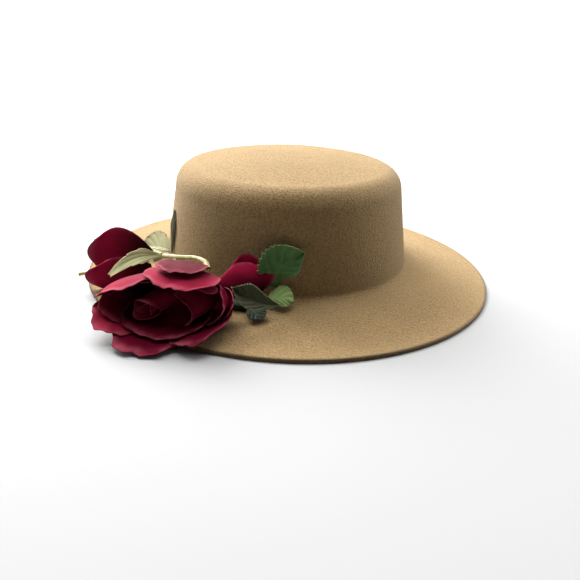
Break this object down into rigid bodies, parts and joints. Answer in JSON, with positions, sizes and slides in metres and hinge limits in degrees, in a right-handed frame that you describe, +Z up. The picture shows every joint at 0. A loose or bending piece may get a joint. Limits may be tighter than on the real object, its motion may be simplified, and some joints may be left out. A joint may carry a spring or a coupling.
{
  "type": "boater hat",
  "caption": "Flat-topped felt hat with a wide, gently drooping oval brim, a silk rose, a half-open bud and leaves beside the crown.",
  "frame": {"origin": "on the floor under the middle of the brim, with the hat lying brim down", "axes": "+Z up through the crown, +Y to the hat's front along the longer way of its oval, +X to the wearer's right; the rose sits at the back left"},
  "size_m": [0.2899, 0.3364, 0.086],
  "materials": {
    "felt": "brushed wool felt, tan",
    "silk_red": "matt silk cloth, deep red",
    "leaf_green": "printed cloth, dark green",
    "leaf_pale": "cloth, pale grey-green",
    "stem_pale": "moulded, pale yellow-green"
  },
  "bodies": {
    "root": {"backing_pad": "leaf_green", "bud_calyx": "leaf_pale", "bud_petal_far": "silk_red", "bud_petal_near": "silk_red", "hat_body": "felt", "leaf_back": "leaf_pale", "leaf_folded": "leaf_green", "leaf_light": "leaf_green", "leaf_shaded": "leaf_green", "leaf_side": "leaf_green", "leaf_upright": "leaf_green", "rose_foot": "leaf_green", "rose_heart": "silk_red", "rose_petal_cup_left": "silk_red", "rose_petal_cup_low": "silk_red", "rose_petal_cup_right": "silk_red", "rose_petal_cup_top": "silk_red", "rose_petal_hood_large": "silk_red", "rose_petal_hood_small": "silk_red", "rose_petal_inner_left": "silk_red", "rose_petal_inner_right": "silk_red", "rose_petal_low_left": "silk_red", "rose_petal_low_middle": "silk_red", "rose_petal_low_right": "silk_red", "rose_petal_right_outer": "silk_red", "rose_petal_rolled": "silk_red", "sepal_curled": "leaf_pale", "sepal_large": "leaf_pale", "side_petal_behind": "silk_red", "side_petal_large": "silk_red", "stem": "stem_pale", "twig": "stem_pale"}
  },
  "joints": []
}
